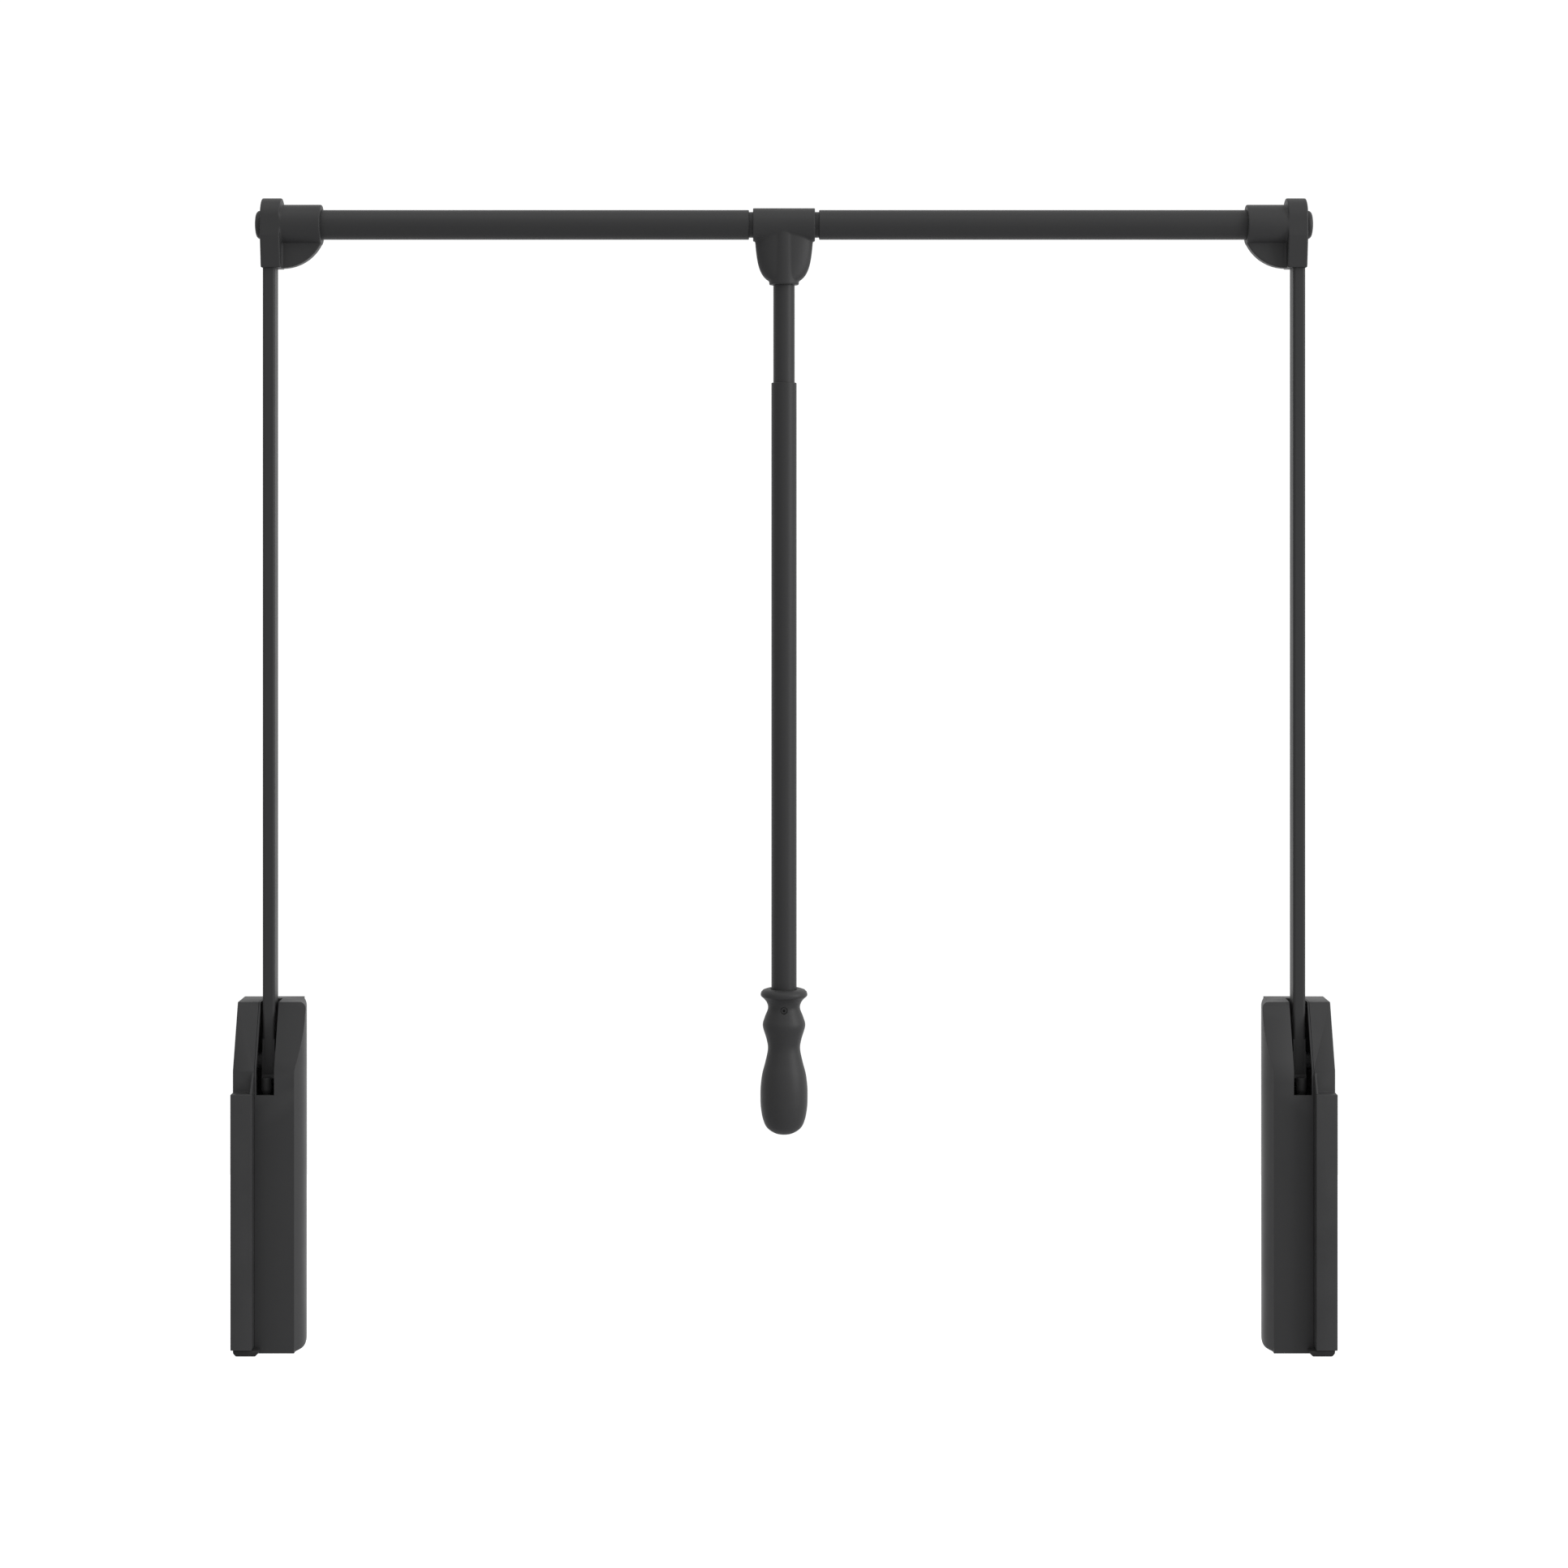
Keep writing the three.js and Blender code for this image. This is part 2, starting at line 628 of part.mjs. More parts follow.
function grip() {
  const knots = GRIP_KNOTS.map(([height, radius]) => new THREE.Vector2(radius, GRIP.bottom + height));
  const curve = new THREE.SplineCurve(knots).getPoints(30).map((p) => [Math.max(p.x, 0.1), p.y]);
  const body = turnedZ([[0, curve[0][1]], ...curve, [0, curve[curve.length - 1][1]]], 0, PIVOT.y);
  const tubeBore = rodZ(ROD.tubeRadius + GAP, GRIP.top - 36 - GAP, GRIP.top + 10, 0, PIVOT.y);
  const screwHole = rodY(2.6, PIVOT.y - 30, PIVOT.y, 0, GRIP.bottom + 95.9);
  return cut(body, tubeBore, screwHole);
}

// The grub screw that fixes the grip on its tube.
function gripScrew() {
  const z = GRIP.bottom + 95.9;
  const front = PIVOT.y - 12;
  const body = rodY(2.3, front, PIVOT.y - ROD.tubeRadius - GAP, 0, z);
  return body.subtract(rodY(1.1, front - 1, front + 1.6, 0, z, 6));
}

node("inner_rail", innerRail(), paintDark);
node("tee", tee(), plasticDark);
node("pull_rod", pullRod(), paintDark);
node("rod_bush", rodBush(), acetalBlack);
node("grip_tube", gripTube(), paintDark);
node("grip", grip(), plasticDark);
node("grip_screw", gripScrew(), paintDark);

export default wardrobeRail;
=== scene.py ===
import json
import math

import bmesh
import bpy
from mathutils import Matrix, Vector


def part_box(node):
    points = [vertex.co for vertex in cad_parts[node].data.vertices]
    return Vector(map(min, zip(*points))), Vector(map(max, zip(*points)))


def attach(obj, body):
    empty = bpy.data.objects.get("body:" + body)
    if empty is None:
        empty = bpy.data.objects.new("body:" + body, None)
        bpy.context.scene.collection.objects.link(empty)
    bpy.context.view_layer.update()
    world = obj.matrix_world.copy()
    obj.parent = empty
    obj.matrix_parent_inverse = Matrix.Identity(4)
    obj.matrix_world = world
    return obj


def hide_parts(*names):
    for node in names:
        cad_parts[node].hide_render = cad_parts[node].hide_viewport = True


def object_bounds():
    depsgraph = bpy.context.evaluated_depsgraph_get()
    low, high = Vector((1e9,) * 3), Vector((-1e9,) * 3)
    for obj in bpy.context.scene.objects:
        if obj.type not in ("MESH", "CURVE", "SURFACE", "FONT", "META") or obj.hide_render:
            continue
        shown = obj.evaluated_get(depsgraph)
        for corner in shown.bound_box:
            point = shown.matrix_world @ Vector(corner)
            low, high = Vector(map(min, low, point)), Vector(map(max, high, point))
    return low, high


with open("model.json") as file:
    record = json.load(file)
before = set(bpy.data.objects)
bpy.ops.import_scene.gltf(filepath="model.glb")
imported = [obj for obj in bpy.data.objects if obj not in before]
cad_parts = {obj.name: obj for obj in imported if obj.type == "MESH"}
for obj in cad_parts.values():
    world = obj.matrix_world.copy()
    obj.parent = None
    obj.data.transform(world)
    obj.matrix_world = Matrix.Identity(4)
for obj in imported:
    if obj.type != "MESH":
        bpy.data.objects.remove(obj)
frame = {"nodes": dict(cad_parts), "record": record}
cadLow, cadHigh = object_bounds()
mm = 0.001
sides = ("left", "right")


eye = {"distance": 2.37, "height": 0.605, "lens": 72.62, "sensor": 36.0, "shift": -0.1493}
studio = {"floor": -1.45, "floorSize": 16.0, "ahead": 1.06, "around": 0.62, "above": 0.25, "right": 0.14}


def placeCamera():
    camera = bpy.data.objects.new("camera", bpy.data.cameras.new("camera"))
    bpy.context.scene.collection.objects.link(camera)
    camera.location = (0, cadLow.y - eye["distance"], eye["height"])
    camera.rotation_euler = (math.radians(90), 0, 0)
    camera.data.lens = eye["lens"]
    camera.data.sensor_width = eye["sensor"]
    camera.data.shift_y = eye["shift"]
    camera.data.clip_end = 100
    bpy.context.scene.camera = camera


def softLight(name, place, target, size, power):
    lamp = bpy.data.lights.new(name, "AREA")
    lamp.shape = "RECTANGLE"
    lamp.size, lamp.size_y = size
    lamp.energy = power
    light = bpy.data.objects.new(name, lamp)
    bpy.context.scene.collection.objects.link(light)
    light.location = place
    aim = Vector(target) - Vector(place)
    light.rotation_euler = aim.to_track_quat("-Z", "Y").to_euler()


class Field:
    # A float socket that Python arithmetic turns into Math nodes.
    def __init__(self, tree, socket):
        self.tree = tree
        self.socket = socket

    def math(self, operation, first, second=None, clamp=False):
        node = self.tree.nodes.new("ShaderNodeMath")
        node.operation = operation
        node.use_clamp = clamp
        for slot, value in zip(node.inputs, (first, second)):
            if isinstance(value, Field):
                self.tree.links.new(value.socket, slot)
            elif value is not None:
                slot.default_value = value
        return Field(self.tree, node.outputs[0])

    def __add__(self, other):
        return self.math("ADD", self, other)

    __radd__ = __add__

    def __sub__(self, other):
        return self.math("SUBTRACT", self, other)

    def __rsub__(self, other):
        return self.math("SUBTRACT", other, self)

    def __mul__(self, other):
        return self.math("MULTIPLY", self, other)

    __rmul__ = __mul__

    def __pow__(self, other):
        return self.math("POWER", self, other)

    def clamped(self):
        return self.math("ADD", self, 0.0, clamp=True)


class Finish:
    # One material: its tree, and a method for any node.
    def __init__(self, name):
        self.material = bpy.data.materials.new(name)
        self.material.use_nodes = True
        self.tree = self.material.node_tree
        self.shader = self.tree.nodes["Principled BSDF"]
        self.place = self.node("ShaderNodeTexCoord").outputs["Object"]

    def node(self, kind, settings=None, inputs=None):
        made = self.tree.nodes.new(kind)
        for key, value in (settings or {}).items():
            setattr(made, key, value)
        for key, value in (inputs or {}).items():
            self.feed(made.inputs[key], value)
        return made

    def feed(self, slot, value):
        if isinstance(value, Field):
            self.tree.links.new(value.socket, slot)
        elif isinstance(value, bpy.types.NodeSocket):
            self.tree.links.new(value, slot)
        else:
            slot.default_value = value

    def stretched(self, scale):
        mapped = self.node("ShaderNodeMapping", None, {"Vector": self.place, "Scale": scale})
        return mapped.outputs["Vector"]

    def noise(self, scale, detail=3.0, roughness=0.5, vector=None):
        inputs = {"Vector": vector or self.place, "Scale": scale, "Detail": detail, "Roughness": roughness}
        made = self.node("ShaderNodeTexNoise", None, inputs)
        return Field(self.tree, made.outputs[0])

    def cells(self, scale):
        made = self.node("ShaderNodeTexVoronoi", None, {"Vector": self.place, "Scale": scale})
        return Field(self.tree, made.outputs["Distance"])

    def between(self, factor, first, second):
        made = self.node("ShaderNodeMix", {"data_type": "RGBA"})
        self.feed(made.inputs["Factor"], factor)
        self.feed(made.inputs[6], first)
        self.feed(made.inputs[7], second)
        return made.outputs[2]

    def bump(self, height, distance, strength=1.0):
        inputs = {"Height": height, "Distance": distance, "Strength": strength}
        return self.node("ShaderNodeBump", None, inputs).outputs["Normal"]

    def set(self, **values):
        for key, value in values.items():
            self.feed(self.shader.inputs[key.replace("_", " ")], value)


def grey(level):
    return (level, level, level * 1.02, 1.0)


# Spark-textured moulding: fine pits, slow drifts of gloss, faint wipe marks, and lighter edges: partly edge
# wear, partly a painted highlight.
mouldedPlastic = {
    "dark": 0.027,
    "light": 0.036,
    # the edge grey and its strength: lighter edges, partly wear and partly a painted highlight
    "wornAndHighlit": 0.05,
    "rub": 0.5,
    "gloss": 0.5,
    "spread": 0.16,
    "grain": 2600,
    "ripple": 240,
    "drift": 26,
}


def makeMouldedPlastic():
    use = mouldedPlastic
    finish = Finish("mouldedPlastic")
    grain = finish.noise(use["grain"], 2.0, 0.6)
    pits = finish.cells(use["grain"] * 0.6)
    ripple = finish.noise(use["ripple"], 2.0, 0.4)
    drift = finish.noise(use["drift"], 4.0, 0.55)
    wipes = finish.noise(60, 3.0, 0.6, finish.stretched((1.0, 1.0, 0.12)))
    shape = finish.node("ShaderNodeNewGeometry")
    # edges made lighter by pointiness: partly edge wear, partly a painted highlight standing in for light
    # caught on rounded edges
    edge = ((Field(finish.tree, shape.outputs["Pointiness"]) - 0.52) * 9.0).clamped()
    rubbedAndHighlit = (edge * (drift * 1.6)).clamped() * use["rub"]
    plain = finish.between((drift * 0.6 + grain * 0.4).clamped(), grey(use["dark"]), grey(use["light"]))
    colour = finish.between(rubbedAndHighlit, plain, grey(use["wornAndHighlit"]))
    rough = use["gloss"] + use["spread"] * (drift - 0.5) + 0.08 * (wipes - 0.5) + 0.06 * grain
    normal = finish.bump(grain * 0.5 + pits * 0.4 + ripple * 1.2, 0.00004, 0.5)
    finish.set(Base_Color=colour, Roughness=rough.clamped(), Normal=normal, IOR=1.36)
    return finish.material


# Satin powder coat on steel: soft orange peel and a little sparkle in the gloss.
powderCoat = {"dark": 0.028, "light": 0.034, "gloss": 0.48, "peel": 420, "fleck": 3200}


def makePowderCoat():
    use = powderCoat
    finish = Finish("powderCoat")
    peel = finish.noise(use["peel"], 2.0, 0.45)
    fleck = finish.noise(use["fleck"], 1.0, 0.5)
    drift = finish.noise(18, 3.0, 0.5)
    colour = finish.between((fleck * 0.5 + drift * 0.5).clamped(), grey(use["dark"]), grey(use["light"]))
    rough = use["gloss"] + 0.1 * (drift - 0.5) + 0.05 * fleck
    normal = finish.bump(peel + 0.2 * fleck, 0.00003, 0.45)
    finish.set(Base_Color=colour, Roughness=rough.clamped(), Normal=normal, IOR=1.34)
    return finish.material


# Black rubber: matt, dusty in patches.
def makeRubber():
    finish = Finish("blackRubber")
    dust = finish.noise(90, 5.0, 0.65)
    grain = finish.noise(1500, 2.0, 0.5)
    colour = finish.between((dust ** 3.0).clamped(), grey(0.006), grey(0.03))
    rough = 0.72 + 0.2 * (dust - 0.5)
    finish.set(Base_Color=colour, Roughness=rough.clamped(), Normal=finish.bump(grain, 0.00003, 0.6))
    return finish.material


# Bright zinc on pressed steel: spangled tone, drawn lines, slightly blue.
def makeZinc():
    finish = Finish("zincPlate")
    spangle = finish.cells(160)
    lines = finish.noise(700, 2.0, 0.6, finish.stretched((1.0, 1.0, 0.04)))
    colour = finish.between((spangle * 1.4).clamped(), (0.42, 0.43, 0.45, 1), (0.6, 0.61, 0.62, 1))
    rough = 0.24 + 0.16 * lines
    normal = finish.bump(lines, 0.00001, 0.4)
    finish.set(Base_Color=colour, Metallic=1.0, Roughness=rough.clamped(), Normal=normal)
    return finish.material


# Black acetal: waxy, with faint flow marks.
def makeAcetal():
    finish = Finish("blackAcetal")
    flow = finish.noise(40, 3.0, 0.5, finish.stretched((1.0, 1.0, 0.3)))
    colour = finish.between(flow.clamped(), grey(0.014), grey(0.022))
    finish.set(Base_Color=colour, Roughness=(0.3 + 0.14 * flow).clamped())
    return finish.material


# Pale floor that fades to white in the distance, like a studio sweep.
def makeFloor():
    finish = Finish("paleFloor")
    drift = finish.noise(0.6, 2.0, 0.5)
    colour = finish.between(drift.clamped(), grey(0.6), grey(0.64))
    apart = finish.node("ShaderNodeSeparateXYZ", None, {0: finish.place})
    fade = ((Field(finish.tree, apart.outputs[1]) - 1.5) * 0.45).clamped()
    glow = finish.between(fade, grey(0.0), (1, 1, 1, 1))
    finish.set(Base_Color=colour, Roughness=0.9, Emission_Color=glow, Emission_Strength=0.75)
    return finish.material


def lightStage():
    world = bpy.data.worlds.new("studio")
    bpy.context.scene.world = world
    world.use_nodes = True
    tree = world.node_tree
    back = tree.nodes["Background"]
    direction = tree.nodes.new("ShaderNodeTexCoord").outputs["Generated"]
    apart = tree.nodes.new("ShaderNodeSeparateXYZ")
    tree.links.new(direction, apart.inputs[0])
    x, y, z = (Field(tree, apart.outputs[axis]) for axis in "XYZ")
    # white ahead of the eye, softer all round, brighter from above and from the right
    around = studio["around"] + studio["above"] * z + studio["right"] * x
    ahead = (y * 2.0 - 0.6).clamped()
    level = around + (studio["ahead"] - around) * ahead
    tree.links.new(level.socket, back.inputs["Strength"])
    back.inputs["Color"].default_value = (1, 1, 1, 1)
    half = studio["floorSize"] / 2
    mesh = bpy.data.meshes.new("floor")
    corners = ((-half, -half), (half, -half), (half, half), (-half, half))
    mesh.from_pydata([(x, y, studio["floor"]) for x, y in corners], [], [(0, 1, 2, 3)])
    floor = bpy.data.objects.new("floor", mesh)
    bpy.context.scene.collection.objects.link(floor)
    mesh.materials.append(makeFloor())
    softLight("rightPanel", (2.6, -1.2, 1.3), (0, 0, 0.5), (1.2, 2.4), 46)
    softLight("topPanel", (-0.6, -0.9, 2.9), (0, 0, 0.6), (2.4, 1.2), 9)
    bpy.context.scene.view_settings.view_transform = "Standard"


placeCamera()
lightStage()
print("view and light are set")

finishes = {
    "moulded_plastic": makeMouldedPlastic(),
    "painted_tube": makePowderCoat(),
    "rubber": makeRubber(),
    "zinc_steel": makeZinc(),
    "acetal": makeAcetal(),
}
slotOf = {part["node"]: part["material_slot"] for part in frame["record"]["subparts"]}
bodyOf = {node: body for body, nodes in frame["record"]["behaviour"]["bodies"].items() for node in nodes}


def addObject(name, mesh):
    made = bpy.data.objects.new(name, mesh)
    bpy.context.scene.collection.objects.link(made)
    return made


def meshFrom(bm, name):
    mesh = bpy.data.meshes.new(name)
    bm.to_mesh(mesh)
    bm.free()
    return mesh


def withModifier(piece, kind, **settings):
    modifier = piece.modifiers.new(kind.lower(), kind)
    for key, value in settings.items():
        setattr(modifier, key, value)
    return modifier


def baked(piece):
    # The evaluated shape as a plain mesh, with every modifier gone.
    bpy.context.view_layer.update()
    graph = bpy.context.evaluated_depsgraph_get()
    mesh = bpy.data.meshes.new_from_object(piece.evaluated_get(graph))
    piece.modifiers.clear()
    piece.data = mesh
    return piece


def handIn(piece, nodes, sharpAngle=32):
    # Gives a finished piece its shading, finish and body, and hides the CAD nodes it stands for.
    baked(piece)
    mesh = piece.data
    mesh.shade_smooth()
    mesh.set_sharp_from_angle(angle=math.radians(sharpAngle))
    slot = slotOf[nodes[0]]
    mesh.materials.clear()
    mesh.materials.append(finishes[slot])
    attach(piece, bodyOf[nodes[0]])
    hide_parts(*nodes)
    return piece


def turnedMesh(name, profile, along, centre, segments=96):
    # profile is a closed loop, or starts and ends on the axis: (radius, place along the axis)
    bm = bmesh.new()
    onAxis = profile[0][0] < 1e-6 and profile[-1][0] < 1e-6
    rings = []
    for radius, place in profile:
        if radius < 1e-6:
            rings.append([bm.verts.new((0, 0, place))])
            continue
        ring = []
        for step in range(segments):
            angle = 2 * math.pi * step / segments
            ring.append(bm.verts.new((radius * math.cos(angle), radius * math.sin(angle), place)))
        rings.append(ring)
    pairs = list(zip(rings, rings[1:]))
    if not onAxis:
        pairs.append((rings[-1], rings[0]))
    for low, high in pairs:
        for step in range(segments):
            following = (step + 1) % segments
            corners = [low[step % len(low)], low[following % len(low)]]
            corners += [high[following % len(high)], high[step % len(high)]]
            bm.faces.new(list(dict.fromkeys(corners)))
    turns = {"z": Matrix.Identity(4), "x": Matrix.Rotation(math.radians(90), 4, "Y")}
    turns["y"] = Matrix.Rotation(math.radians(-90), 4, "X")
    bmesh.ops.transform(bm, matrix=Matrix.Translation(centre) @ turns[along], verts=bm.verts)
    bmesh.ops.recalc_face_normals(bm, faces=bm.faces)
    return meshFrom(bm, name)


def roundedCorner(points, radius, steps=4):
    # Rounds each inner corner of an open run of (radius, place) points.
    result = [points[0]]
    for before, corner, after in zip(points, points[1:], points[2:]):
        a, b, c = Vector(before), Vector(corner), Vector(after)
        reach = min(radius, 0.45 * (a - b).length, 0.45 * (c - b).length)
        start = b + (a - b).normalized() * reach
        end = b + (c - b).normalized() * reach
        for step in range(steps + 1):
            t = step / steps
            result.append(tuple(start * (1 - t) ** 2 + b * 2 * t * (1 - t) + end * t**2))
    result.append(points[-1])
    return result


def tubeMesh(name, outer, wall, start, end, along, centre):
    edge = 0.35 * mm
    inner = outer - wall
    profile = [
        (inner, start + edge),
        (inner + edge, start),
        (outer - edge, start),
        (outer, start + edge),
        (outer, end - edge),
        (outer - edge, end),
        (inner + edge, end),
        (inner, end - edge),
    ]
    return turnedMesh(name, profile, along, centre)


def mergedCopy(node, name):
    mesh = frame["nodes"][node].data.copy()
    mesh.name = name
    bm = bmesh.new()
    bm.from_mesh(mesh)
    bmesh.ops.remove_doubles(bm, verts=bm.verts, dist=0.003 * mm)
    bmesh.ops.dissolve_limit(bm, angle_limit=math.radians(0.05), verts=bm.verts, edges=bm.edges)
    bm.to_mesh(mesh)
    bm.free()
    return addObject(name, mesh)


def bevelled(piece, width, segments=3, angle=30):
    settings = {"width": width, "segments": segments, "limit_method": "ANGLE"}
    withModifier(piece, "BEVEL", angle_limit=math.radians(angle), harden_normals=True, **settings)
    return piece


def edgesRounded(piece, width, keep, segments=3, angle=30):
    # Bevels the sharp edges for which keep() says yes, by their middles.
    bm = bmesh.new()
    bm.from_mesh(piece.data)
    weight = bm.edges.layers.float.new("bevel_weight_edge")
    for edge in bm.edges:
        sharp = len(edge.link_faces) == 2 and edge.calc_face_angle() > math.radians(angle)
        middle = (edge.verts[0].co + edge.verts[1].co) / 2
        edge[weight] = 1.0 if sharp and keep(middle) else 0.0
    bm.to_mesh(piece.data)
    bm.free()
    withModifier(piece, "BEVEL", width=width, segments=segments, limit_method="WEIGHT")
    return baked(piece)


def prismMesh(bm, outline, along, start, end):
    # A flat outline pulled along an axis: along y the outline is (x, z), along x it is (y, z).
    places = {"y": lambda a, b, c: (a, c, b), "x": lambda a, b, c: (c, a, b)}
    place = places[along]
    low = [bm.verts.new(place(a, b, start)) for a, b in outline]
    high = [bm.verts.new(place(a, b, end)) for a, b in outline]
    bm.faces.new(low)
    bm.faces.new(high)
    for index in range(len(outline)):
        following = (index + 1) % len(outline)
        bm.faces.new((low[index], low[following], high[following], high[index]))


def cylinderInto(bm, radius, along, start, end, centre, segments=96):
    profile = [(0, start), (radius, start), (radius, end), (0, end)]
    mesh = turnedMesh("part", profile, along, centre, segments)
    bm.from_mesh(mesh)
    bpy.data.meshes.remove(mesh)


def ovalLoft(bm, ovals, middleY, segments=64):
    # A closed solid through level ovals, each (half width, half depth, height).
    rings = []
    turns = [2 * math.pi * step / segments for step in range(segments)]
    for wide, deep, height in ovals:
        places = [(wide * math.cos(t), middleY + deep * math.sin(t), height) for t in turns]
        rings.append([bm.verts.new(place) for place in places])
    bm.faces.new(rings[0])
    bm.faces.new(rings[-1])
    for low, high in zip(rings, rings[1:]):
        for step in range(segments):
            following = (step + 1) % segments
            bm.faces.new((low[step], low[following], high[following], high[step]))


def melted(name, solids, voxel, passes):
    # Closed solids melted together, so that fillets form where they meet.
    joined = bmesh.new()
    for make in solids:
        make(joined)
    bmesh.ops.recalc_face_normals(joined, faces=joined.faces)
    piece = addObject(name, meshFrom(joined, name))
    withModifier(piece, "REMESH", mode="VOXEL", voxel_size=voxel, use_smooth_shade=True)
    withModifier(piece, "SMOOTH", factor=0.5, iterations=passes)
    return baked(piece)


def bored(piece, mesh):
    tool = addObject("cutter", mesh)
    withModifier(piece, "BOOLEAN", operation="DIFFERENCE", object=tool, solver="EXACT")
    baked(piece)
    bpy.data.objects.remove(tool)
    return piece


def arc(centre, radius, start, end, steps):
    turns = [math.radians(start + (end - start) * step / steps) for step in range(steps + 1)]
    return [(centre[0] + radius * math.cos(t), centre[1] + radius * math.sin(t)) for t in turns]


def curvePoints(a, b, c, d, steps):
    result = []
    for step in range(steps + 1):
        t = step / steps
        weights = ((1 - t) ** 3, 3 * t * (1 - t) ** 2, 3 * t * t * (1 - t), t**3)
        result.append(tuple(sum(w * p[i] for w, p in zip(weights, (a, b, c, d))) for i in range(2)))
    return result


def middleOf(node):
    low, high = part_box(node)
    return (low + high) / 2


def newTree(name, inputs):
    tree = bpy.data.node_groups.new(name, "GeometryNodeTree")
    tree.interface.new_socket("Geometry", in_out="INPUT", socket_type="NodeSocketGeometry")
    for label, kind in inputs:
        tree.interface.new_socket(label, in_out="INPUT", socket_type="NodeSocket" + kind)
    tree.interface.new_socket("Geometry", in_out="OUTPUT", socket_type="NodeSocketGeometry")
    return tree


def treeNode(tree, kind, inputs=None):
    made = tree.nodes.new(kind)
    for key, value in (inputs or {}).items():
        if isinstance(value, bpy.types.NodeSocket):
            tree.links.new(value, made.inputs[key])
        else:
            made.inputs[key].default_value = value
    return made


def closeTree(tree, geometry, material):
    real = treeNode(tree, "GeometryNodeRealizeInstances", {"Geometry": geometry})
    painted = treeNode(tree, "GeometryNodeSetMaterial", {"Geometry": real.outputs[0], "Material": material})
    out = treeNode(tree, "NodeGroupOutput")
    tree.links.new(painted.outputs[0], out.inputs[0])


def growFrom(name, mesh, tree, values):
    # Inputs are set by socket identifier, before the first evaluation.
    piece = bpy.data.objects.new(name, mesh)
    modifier = piece.modifiers.new("grow", "NODES")
    modifier.node_group = tree
    for item in tree.interface.items_tree:
        if item.in_out == "INPUT" and item.name in values:
            modifier[item.identifier] = values[item.name]
    bpy.context.scene.collection.objects.link(piece)
    return piece


# A flat tube with rounded corners, swept up a straight line.
def makeBarTree():
    sizes = ("X", "Y", "From", "To", "Width", "Depth", "Corner")
    tree = newTree("flatBar", [(label, "Float") for label in sizes])
    given = treeNode(tree, "NodeGroupInput").outputs
    foot = treeNode(tree, "ShaderNodeCombineXYZ", {"X": given["X"], "Y": given["Y"], "Z": given["From"]})
    head = treeNode(tree, "ShaderNodeCombineXYZ", {"X": given["X"], "Y": given["Y"], "Z": given["To"]})
    ends = {"Start": foot.outputs[0], "End": head.outputs[0]}
    line = treeNode(tree, "GeometryNodeCurvePrimitiveLine", ends)
    sizesIn = {"Width": given["Width"], "Height": given["Depth"]}
    section = treeNode(tree, "GeometryNodeCurvePrimitiveQuadrilateral", sizesIn)
    rounding = {"Curve": section.outputs[0], "Radius": given["Corner"]}
    filleted = treeNode(tree, "GeometryNodeFilletCurve", rounding)
    filleted.mode = "POLY"
    filleted.inputs["Count"].default_value = 8
    sweep = {"Curve": line.outputs[0], "Profile Curve": filleted.outputs[0], "Fill Caps": True}
    swept = treeNode(tree, "GeometryNodeCurveToMesh", sweep)
    closeTree(tree, swept.outputs[0], finishes["painted_tube"])
    return tree


# One screw on each vertex of the host mesh.
def makeScrewTree():
    tree = newTree("screwRow", [("Screw", "Object")])
    given = treeNode(tree, "NodeGroupInput").outputs
    screw = treeNode(tree, "GeometryNodeObjectInfo", {"Object": given["Screw"]})
    placed = {"Points": given["Geometry"], "Instance": screw.outputs["Geometry"]}
    spread = treeNode(tree, "GeometryNodeInstanceOnPoints", placed)
    closeTree(tree, spread.outputs[0], finishes["zinc_steel"])
    return tree


shell = {"edge": 0.8 * mm, "padEdge": 0.5 * mm, "split": 16.2 * mm, "flangeBack": 11.2 * mm}
cover = {
    # distances in from the cabinet wall, then heights and depths, in millimetres
    "split": 16.3,
    "slot": (17.5, 31.1),
    "crease": 46.2,
    "reach": 51.9,
    "backEdge": 47.4,
    "wall": 2.5,
    "slotFoot": 194.3,
    "slotBack": 21.0,
    "slopeFoot": 212.7,
    "slopeBack": 1.0,
    "lowerRound": 4.0,
    "upperRound": 5.0,
    "recess": 3.6,
    "recessDepths": (42.0, 60.0),
    "rows": 16,
    "columns": 26,
    "arcSteps": 10,
}


def coverCurve(front, back):
    # How far in the bulge comes at a depth, read from its plan curve.
    use = cover
    crease, reach = use["crease"], use["reach"]
    fullest = (reach, front + 18)
    ahead = ((crease, front), (crease + 2.6, front + 5.5), (reach, front + 11), fullest)
    behind = (fullest, (reach, front + 26), (reach - 1.7, back - 13), (use["backEdge"], back))
    samples = curvePoints(*ahead, 120) + curvePoints(*behind, 120)[1:]

    def reachAt(depth):
        for low, high in zip(samples, samples[1:]):
            if depth <= high[1]:
                share = (depth - low[1]) / (high[1] - low[1])
                return low[0] + share * (high[0] - low[0])
        return samples[-1][0]

    return reachAt


def coverRows(height):
    # Each row's height, and how far the rounded ends draw it back from the plan.
    use = cover
    turns = [math.pi / 2 * step / use["arcSteps"] for step in range(use["arcSteps"] + 1)]
    low, high = use["lowerRound"], use["upperRound"]
    rows = [(low * (1 - math.cos(t)), low * (1 - math.sin(t))) for t in turns]
    middle = [low + (use["slotFoot"] - low) * step / use["rows"] for step in range(1, use["rows"] + 1)]
    middle += [(use["slotFoot"] + use["slopeFoot"]) / 2, use["slopeFoot"]]
    top = height - high
    middle += [use["slopeFoot"] + (top - use["slopeFoot"]) * step / 6 for step in range(1, 6)]
    rows += [(z, 0.0) for z in middle]
    turns.reverse()
    rows += [(height - high * (1 - math.cos(t)), high * (1 - math.sin(t))) for t in turns]
    return rows


